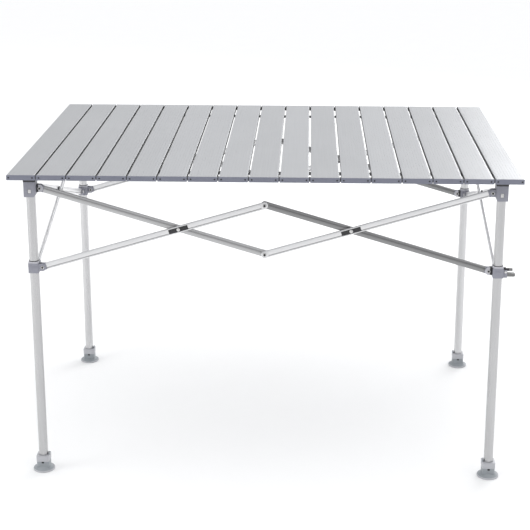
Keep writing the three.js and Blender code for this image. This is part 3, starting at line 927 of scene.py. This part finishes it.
bar_nodes = {}
for depth in ("front", "rear"):
    for side, sign in (("left", -1), ("right", 1)):
        for level, z, turn in (("upper", TOP_PIVOT_Z, 1), ("lower", COLLAR_Z, -1)):
            node = f"{depth}_bar_{side}_{level}"
            facing = turn * DEPLOYED if sign < 0 else pi - turn * DEPLOYED
            bar_nodes[node] = (
                f"{depth}_{side}_{level}_bar",
                Matrix.Translation((sign * SIDE_PIVOT_X, centre_of(node).y, z))
                @ Matrix.Rotation(facing, 4, "Y"),
                OUTER_ARM + INNER_ARM,
            )
for side in ("left", "right"):
    for level, z, turn in (("upper", TOP_PIVOT_Z, 1), ("lower", COLLAR_Z, -1)):
        node = f"{side}_bar_{level}_front"
        bar_nodes[node] = (
            f"{side}_{level}_bar",
            Matrix.Translation((centre_of(node).x, -END_PIVOT_Y, z))
            @ Matrix.Rotation(pi / 2, 4, "Z") @ Matrix.Rotation(turn * DEPLOYED, 4, "Y"),
            2 * OUTER_ARM,
        )

bar_metals = {}
for name, (body, matrix, length) in bar_nodes.items():
    at_end = name.startswith(("left_", "right_"))
    layer_axis = 0 if at_end else 1
    legs_plane = abs(centre_of("leg_front_left")[layer_axis])
    outer = abs(centre_of(name)[layer_axis]) > legs_plane
    key = (outer, tuple(round(a, 3) for a in matrix.to_euler()))
    # The brightness by layer and side is painted light; the metal is the same in all bars.
    if at_end:
        shade, sheen = 0.86, 0.34
    elif outer:
        shade, sheen = 0.78, 0.30
    else:
        shade, sheen = (0.32 if "_right_" in name else 0.55), 0.34
    low_edge, high_edge, painted_groove_shade = OUTER_GROOVE if outer else INNER_GROOVE
    if (matrix.to_3x3() @ Vector((0, 0, 1))).z < 0:
        low_edge, high_edge = -high_edge, -low_edge
    if key not in bar_metals:
        bar_metals[key] = [
            drawn_metal(f"bar_{part}_{len(bar_metals) + 1}", grey(shade * share, blue=1.01), sheen,
                        turn=[-a for a in matrix.to_euler()], scale=(5, 320, 320))
            for part, share in (("metal", 1.0), ("groove", painted_groove_shade))
        ]
    finish = bar_metals[key]
    inner_end = length - (OUTER_PLUG if at_end else INNER_PLUG)
    profile = bar_profile(OUTER_PLUG, inner_end, low_edge, high_edge)
    far_end = bar_plug(inner_end, length + BAR_HALF_HEIGHT, True)
    plugs = bar_plug(-BAR_HALF_HEIGHT, OUTER_PLUG, False)
    joined(plugs if at_end else profile, far_end)
    piece(name.replace("_bar_", "_extrusion_"), put(profile, matrix), finish, body,
          "bar_aluminium", name)
    piece(name.replace("_bar_", "_plugs_"), put(plugs, matrix), blue_nylon, body, "joint_plastic")
    if outer:
        insert = solid_block(
            (OUTER_ARM - INSERT_HALF_LENGTH, -BAR_HALF_THICKNESS - INSERT_PROUD,
             -INSERT_HALF_HEIGHT),
            (OUTER_ARM + INSERT_HALF_LENGTH, BAR_HALF_THICKNESS + INSERT_PROUD,
             INSERT_HALF_HEIGHT),
        )
        corners = [e for e in insert.edges if runs_along(e, 1)]
        softened(insert, INSERT_CORNER, 4, chosen=corners)
        softened(insert, INSERT_EDGE, 2, 60)
        piece(name.replace("_bar_", "_insert_"), put(insert, matrix), black_nylon_and_painted_shade, body,
              "insert_plastic")

# ---- Rivets of the crossed bars --------------------------------------------------------------
# Steel rivets through both layers, domed at the crossings and tubular at the centre joints,
# with a black nylon washer between the bars.

RIVET_RADIUS = 2.4 * MM
RIVET_HEAD_RADIUS = 4.1 * MM
TUBE_HEAD_RADIUS = 4.4 * MM
RIVET_HEAD_FROM = 6.8 * MM
RIVET_HEAD_HEIGHT = 1.6 * MM
WASHER_RADIUS = 6.5 * MM
WASHER_HALF = 0.42 * MM
WASHER_EDGE = 0.15 * MM

for node in sorted(n for n in frame["nodes"] if "_rivet_" in n):
    centre = centre_of(node)
    at_end = node.startswith(("left_", "right_"))
    way = Matrix.Translation(centre) @ Matrix.Rotation(pi / 2 if at_end else 0, 4, "Z")
    body = frame["nodes"][node]["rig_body"]
    if not at_end and abs(centre.x) < MM:
        kind, finishes = "_tubular_rivet_", [rivet_metal, black_nylon_and_painted_shade]
        pin = hollow_rivet(RIVET_RADIUS, TUBE_HEAD_RADIUS, RIVET_HEAD_FROM, RIVET_HEAD_HEIGHT)
    else:
        kind, finishes = "_domed_rivet_", [rivet_metal]
        pin = domed_pin(RIVET_RADIUS, RIVET_HEAD_RADIUS, RIVET_HEAD_FROM, RIVET_HEAD_HEIGHT)
    piece(node.replace("_rivet_", kind), put(pin, way), finishes, body, "rivet_steel", node)
    washer = round_bar(WASHER_RADIUS, -WASHER_HALF, WASHER_HALF, axis="Y")
    softened(washer, WASHER_EDGE, 2, 60)
    piece(node.replace("_rivet_", "_washer_"), put(washer, way), black_nylon_and_painted_shade, body,
          "insert_plastic")

# ---- The lock --------------------------------------------------------------------------------
# A sprung nylon lever on a steel pin between the two lugs of the front right collar. Its nose
# drops into the hole in the leg and holds the frame open.

LOCK_PIVOT_OFFSET = 16 * MM
LEVER_SIDE = -3.95 * MM
LEVER_WIDTH = 5 * MM
HUB_RADIUS = 3.5 * MM
THUMB_X = (0.2 * MM, 15 * MM)
THUMB_Z = (1.8 * MM, 7.4 * MM)
THUMB_GREY_FROM = 7.5 * MM
GRIP_COUNT = 5
GRIP_FROM = 5.4 * MM
GRIP_PITCH = 1.9 * MM
GRIP_LENGTH = 0.9 * MM
GRIP_RISE = 0.3 * MM
GRIP_INSET = 0.5 * MM
THUMB_EDGE, NOSE_EDGE, GRIP_EDGE = 0.8 * MM, 0.7 * MM, 0.25 * MM
NOSE_X = (-3.0 * MM, 1.0 * MM)
NOSE_Z = (2.4 * MM, 9.5 * MM)
NOSE_TIP = [(0, -5.3), (1.4, -5.3), (2, -4.6), (2, -1), (0, -1)]
LOCK_PIN_RADIUS = 1.9 * MM
LOCK_PIN_FIT = 0.2 * MM
LOCK_PIN_HEAD_RADIUS, LOCK_PIN_HEAD_HEIGHT = 2.7 * MM, 0.7 * MM
SPRING_WIRE = 0.35 * MM
SPRING_RADIUS = 2.75 * MM
SPRING_TURNS = 3.5
SPRING_LENGTH = 1.9 * MM
SPRING_FROM = 1.70 * MM
STEPS_A_TURN = 24

corner_leg = centre_of("leg_front_right")
lock_at = Matrix.Translation((corner_leg.x + LOCK_PIVOT_OFFSET, corner_leg.y, COLLAR_Z))
near, far = LEVER_SIDE, LEVER_SIDE + LEVER_WIDTH

hub = carved(
    round_bar(HUB_RADIUS, near, far, 32, "Y"),
    round_bar(LOCK_PIN_RADIUS + LOCK_PIN_FIT, -BORE_REACH / 2, BORE_REACH / 2, 24, "Y"),
)
thumb = solid_block((THUMB_X[0], near, THUMB_Z[0]), (THUMB_X[1], far, THUMB_Z[1]))
softened(thumb, THUMB_EDGE, 3)
nose = solid_block((NOSE_X[0], near, NOSE_Z[0]), (NOSE_X[1], far, NOSE_Z[1]))
softened(nose, NOSE_EDGE, 3)
tip = lathe([(r * MM, h * MM) for r, h in NOSE_TIP], 24, "X")
put(tip, Matrix.Translation((0, (near + far) / 2, LOCK_HOLE_ABOVE_PIVOT)))
grips = []
for i in range(GRIP_COUNT):
    grip_from = GRIP_FROM + GRIP_PITCH * i
    grip = solid_block((grip_from, near + GRIP_INSET, THUMB_Z[1] - GRIP_RISE),
                       (grip_from + GRIP_LENGTH, far - GRIP_INSET, THUMB_Z[1] + GRIP_RISE))
    grips.append(softened(grip, GRIP_EDGE))
sliced(thumb, (THUMB_GREY_FROM, 0, 0), (1, 0, 0))
for face in thumb.faces:
    face.material_index = int(face.calc_center_median().x > THUMB_GREY_FROM)
lever = put(joined(hub, thumb, nose, tip, *grips), lock_at)
piece("lock_thumb_lever", lever, [black_nylon_and_painted_shade, tab_nylon], "lock_lever", "joint_plastic",
      "lock_lever")

coil = bmesh.new()
bmesh.ops.create_circle(coil, cap_ends=True, segments=8, radius=SPRING_WIRE)
put(coil, Matrix.Translation((SPRING_RADIUS, 0, 0)) @ Matrix.Rotation(pi / 2, 4, "X"))
steps = int(SPRING_TURNS * STEPS_A_TURN)
bmesh.ops.spin(
    coil, geom=[*coil.verts, *coil.edges, *coil.faces], cent=(0, 0, 0), axis=(0, 0, 1),
    dvec=(0, 0, SPRING_LENGTH / steps), angle=2 * pi * SPRING_TURNS, steps=steps,
    use_merge=False, use_duplicate=False,
)
bmesh.ops.recalc_face_normals(coil, faces=coil.faces)
put(coil, Matrix.Rotation(-pi / 2, 4, "X"))
put(coil, lock_at @ Matrix.Translation((0, SPRING_FROM, 0)))
piece("lock_coil_spring", coil, rivet_metal, "collar_front_right", "rivet_steel", "lock_spring")

lock_pin = domed_pin(LOCK_PIN_RADIUS, LOCK_PIN_HEAD_RADIUS, LOCK_HALF + LUG_THICKNESS,
                     LOCK_PIN_HEAD_HEIGHT)
piece("lock_hinge_pin", put(lock_pin, lock_at), rivet_metal, "collar_front_right", "rivet_steel",
      "lock_pin")

# ---- Slats -----------------------------------------------------------------------------------
# Seventeen hollow aluminium extrusions, anodised satin, with fine ribs along their tops, their
# sides painted dark as the shade in the gaps. A blue-grey nylon cap is pressed into each end,
# with an eyelet either side of its middle, its floor painted black as shade.

SLAT_COUNT = 17
SLAT_PITCH = 63.5 * MM
SLAT_HALF = 29.5 * MM
SLAT_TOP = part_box("slat_01")[1].z
SLAT_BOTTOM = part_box("slat_01")[0].z
TABLE_HALF_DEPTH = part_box("slat_01")[1].y
CAP_THICKNESS = 2.0 * MM
SLAT_ROUND = 1.1 * MM
RIB_PITCH = 6.0 * MM
RIB_GROOVE = 0.5 * MM
RIB_DEPTH = 0.18 * MM
EYELET_OFFSET = 24.9 * MM
EYELET_RADIUS = 1.9 * MM
EYELET_DEPTH = 1.2 * MM
CAP_OVERHANG = 1.3 * MM
CAP_BELOW_TOP = 0.15 * MM
CAP_TRIM = 0.1 * MM

cap_nylon = moulded("cap_nylon", (0.150, 0.158, 0.205, 1), (0.200, 0.208, 0.255, 1), 0.44)
slats = Nodes(bpy.data.materials.new("slat_metal"))
position = slats.place()
across = slats.add("ShaderNodeSeparateXYZ", {}, {0: position}, 0)
number = across.maths("FLOOR", across * (1 / SLAT_PITCH) + 0.5)
batch = slats.add("ShaderNodeTexWhiteNoise", {"noise_dimensions": "1D"}, {"W": number})
grain = slats.noise(slats.stretched((0, 0, 0), (300, 4, 300)), 1.0, 4.0, 0.62)
hair = slats.noise(slats.stretched((0, 0, 0), (1500, 10, 1500)), 1.0, 2.0)
cloud = slats.noise(position, 5.0, 3.0)
tone = batch * 0.28 + grain * 0.36 + cloud * 0.36
slat_metal = slats.surface(
    Base_Color=slats.mixed(tone, grey(0.52, 0.985, 1.0, 1.03), grey(0.40, 0.985, 1.0, 1.03)),
    Metallic=0.80,
    Roughness=0.36 + grain * 0.08 + cloud * 0.06,
    Normal=slats.bump(grain * 0.5 + hair * 0.5, 0.28, METAL_LINE_DEPTH),
)

# The slats' sides that face the gaps: the same metal painted dark, as the shade in the gaps.
gap_shade = Nodes(bpy.data.materials.new("slat_side_painted_shade"))
gap_side_lines = gap_shade.noise(gap_shade.stretched((0, 0, 0), (300, 4, 300)), 1.0, 4.0, 0.62)
slat_side_painted_shade = gap_shade.surface(
    Base_Color=gap_shade.mixed(gap_side_lines, grey(0.20), grey(0.12)),
    Metallic=0.7,
    Roughness=0.46 + gap_side_lines * 0.10,
    Normal=gap_shade.bump(gap_side_lines, 0.3, METAL_LINE_DEPTH),
)


def slat_outline(low_y, high_y, half, bottom, top, rounding):
    """A bar of the slat's section between two places along y."""
    bar = solid_block((-half, low_y, bottom), (half, high_y, top))
    return softened(bar, rounding, 4, chosen=[e for e in bar.edges if runs_along(e, 1)])


def slat_extrusion(open_side):
    """A slat with grooves along its top. Its sides are darker, painted shade of the gaps between
    slats, but for a side that is the end of the table."""
    bar = slat_outline(-TABLE_HALF_DEPTH + CAP_THICKNESS, TABLE_HALF_DEPTH - CAP_THICKNESS,
                       SLAT_HALF, SLAT_BOTTOM, SLAT_TOP, SLAT_ROUND)
    count = int((SLAT_HALF - 2 * SLAT_ROUND) / RIB_PITCH)
    lines = [i * RIB_PITCH for i in range(-count, count + 1)]
    for line in lines:
        for edge in (-RIB_GROOVE / 2, RIB_GROOVE / 2):
            sliced(bar, (line + edge, 0, 0), (1, 0, 0))
    grooves = [
        f for f in bar.faces
        if f.normal.z > 0.99
        and any(abs(f.calc_center_median().x - line) < RIB_GROOVE / 4 for line in lines)
    ]
    for face in grooves:
        sunk(bar, face, (0, 0, -RIB_DEPTH))
    # Sides that face a gap take the dark second metal: painted shade.
    for face in bar.faces:
        if abs(face.normal.x) > 0.9 and face.normal.x * open_side < 0.5:
            face.material_index = 1
    return bar


def drilled(cap, face, centre, radius, depth):
    """A round blind hole in a square face, its floor and walls in the second material, painted
    black as shade.
    """
    size = min(e.calc_length() for e in face.edges)
    bmesh.ops.inset_region(cap, faces=[face], thickness=size / 2 - radius * 0.80)
    bmesh.ops.subdivide_edges(cap, edges=list(face.edges), cuts=3)
    for v in face.verts:
        offset = v.co - centre
        offset.y = 0
        v.co = centre + offset.normalized() * radius
    # The hole's floor and walls are painted black, as the shade in it.
    for floor_face in sunk(cap, face, (0, depth, 0)):
        floor_face.material_index = 1


def end_cap(trimmed_side):
    """The cap of the front end, with its front face at the table's edge. Its sides reach into
    the gaps, but for the side that is the end of the table."""
    front = -TABLE_HALF_DEPTH
    half = SLAT_HALF + CAP_OVERHANG
    cap = slat_outline(front, front + CAP_THICKNESS, half, SLAT_BOTTOM + CAP_BELOW_TOP,
                       SLAT_TOP - CAP_BELOW_TOP, SLAT_ROUND)
    for v in cap.verts:
        if v.co.x * trimmed_side > SLAT_HALF - 2 * SLAT_ROUND:
            v.co.x -= trimmed_side * (CAP_OVERHANG + CAP_TRIM)
    middle = (SLAT_BOTTOM + SLAT_TOP) / 2
    margin = 1.9 * EYELET_RADIUS
    cuts = [(Vector((0, 0, middle + way * margin)), (0, 0, 1)) for way in (-1, 1)]
    for eyelet in (-EYELET_OFFSET, EYELET_OFFSET):
        cuts += [(Vector((eyelet + way * margin, 0, 0)), (1, 0, 0)) for way in (-1, 1)]
    for place, normal in cuts:
        sliced(cap, place, normal)
    for eyelet in (-EYELET_OFFSET, EYELET_OFFSET):
        centre = Vector((eyelet, front, middle))
        found = [
            f for f in cap.faces
            if f.normal.y < -0.9 and (f.calc_center_median() - centre).length < 0.2 * MM
        ]
        drilled(cap, found[0], centre, EYELET_RADIUS, EYELET_DEPTH)
    return cap


for i in range(SLAT_COUNT):
    label = f"{i + 1:02d}"
    body = f"slat_{label}"
    here = Matrix.Translation((centre_of(body).x, 0, 0))
    table_end = -1 if i == 0 else (1 if i == SLAT_COUNT - 1 else 0)
    piece(f"extrusion_{label}", put(slat_extrusion(table_end), here),
          [slat_metal, slat_side_painted_shade], body, "slat_aluminium", body)
    half_turn = Matrix.Rotation(pi, 4, "Z")
    for end, side, place in (("front", table_end, here), ("rear", -table_end, here @ half_turn)):
        piece(f"{end}_cap_{label}", put(end_cap(side), place), [cap_nylon, black_nylon_and_painted_shade], body,
              "joint_plastic")

# ---- Straps and links ------------------------------------------------------------------------
# Two flat bands of woven elastic run under the slats and are riveted to each one, so that the
# top rolls up. A short rubber link near each end of the slats keeps the gaps even.

STRAP_Y = 289 * MM
STRAP_HALF_WIDTH = 12 * MM
STRAP_TOP = SLAT_BOTTOM
STRAP_THICKNESS = 1.8 * MM
STRAP_BOTTOM = STRAP_TOP - STRAP_THICKNESS
STRAP_STEPS = 28
TAIL_LENGTH = 14 * MM
CLEAR_OF_SLAT = 0.05 * MM
LINK_Y = 359 * MM
LINK_HALF_WIDTH = 7 * MM
LINK_INTO_SLAT = 1.2 * MM
LINK_ABOVE_BOTTOM, LINK_BELOW_TOP = 0.8 * MM, 1.8 * MM
LINK_STEPS = 8
WEAVE_DEPTH = 0.2 * MM

elastic = Nodes(bpy.data.materials.new("strap_elastic"))
position = elastic.place()
weft, warp = [
    elastic.add("ShaderNodeTexWave", {"bands_direction": direction},
                {"Vector": position, "Scale": scale, "Distortion": wander, "Detail": 1.0})
    for direction, scale, wander in (("X", 420.0, 0.4), ("Y", 260.0, 0.2))
]
fuzz = elastic.noise(position, 1800.0)
weave = weft * 0.55 + warp * 0.45
dark_yarn, pale_yarn = grey(0.16, blue=1.03), grey(0.30, blue=1.03)
strap_elastic = elastic.surface(
    Base_Color=elastic.mixed(weave * 0.7 + fuzz * 0.3, dark_yarn, pale_yarn),
    Roughness=0.80 + fuzz * 0.12,
    Normal=elastic.bump(weave, 0.6, WEAVE_DEPTH),
)


def band(from_x, to_x, centre_y, half_width, bottom, top, steps):
    """A flat band along x with softened rims, cut across into steps."""
    made = solid_block((from_x, centre_y - half_width, bottom), (to_x, centre_y + half_width, top))
    softened(made, 0.35 * (top - bottom), 2)
    for step in range(1, steps):
        sliced(made, (from_x + (to_x - from_x) * step / steps, 0, 0), (1, 0, 0))
    return made


STRAP_RIVET = [
    (0, 0), (3.6, 0), (4.0, -0.35), (3.7, -0.9), (2.6, -1.4), (1.3, -1.5), (1.1, -1.1), (0, -1.1)
]
for i in range(SLAT_COUNT):
    label = f"{i + 1:02d}"
    body = f"slat_{label}"
    x = centre_of(body).x
    for place, sign in (("front", -1), ("rear", 1)):
        y, link_y = sign * STRAP_Y, sign * LINK_Y
        head = lathe([(r * MM, h * MM) for r, h in STRAP_RIVET], 20)
        put(head, Matrix.Translation((x, y, STRAP_BOTTOM)))
        piece(f"strap_rivet_{place}_{label}", head, rivet_metal, body, "rivet_steel")
        if i in (0, SLAT_COUNT - 1):
            tail_from, tail_to = (x - TAIL_LENGTH, x) if i == 0 else (x, x + TAIL_LENGTH)
            tail = band(tail_from, tail_to, y, STRAP_HALF_WIDTH, STRAP_BOTTOM,
                        STRAP_TOP - CLEAR_OF_SLAT, 2)
            piece(f"strap_tail_{place}_{label}", tail, strap_elastic, body, "strap_elastic")
        if i == SLAT_COUNT - 1:
            continue
        gap_from, gap_to = x + SLAT_HALF, x + SLAT_PITCH - SLAT_HALF
        strap = band(x, x + SLAT_PITCH, y, STRAP_HALF_WIDTH, STRAP_BOTTOM,
                     STRAP_TOP - CLEAR_OF_SLAT, STRAP_STEPS)
        strap = piece(f"strap_{place}_{label}", strap, strap_elastic, None, "strap_elastic")
        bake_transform(strap)
        link = band(gap_from - LINK_INTO_SLAT, gap_to + LINK_INTO_SLAT, link_y, LINK_HALF_WIDTH,
                    SLAT_BOTTOM + LINK_ABOVE_BOTTOM, SLAT_TOP - LINK_BELOW_TOP, LINK_STEPS)
        link = piece(f"link_{place}_{label}", link, black_nylon_and_painted_shade, None, "insert_plastic")
        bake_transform(link)

# ---- Bounds ----------------------------------------------------------------------------------
# The bounds of the finished table's pieces, without the floor and the hidden parts of the frame.

low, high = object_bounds()
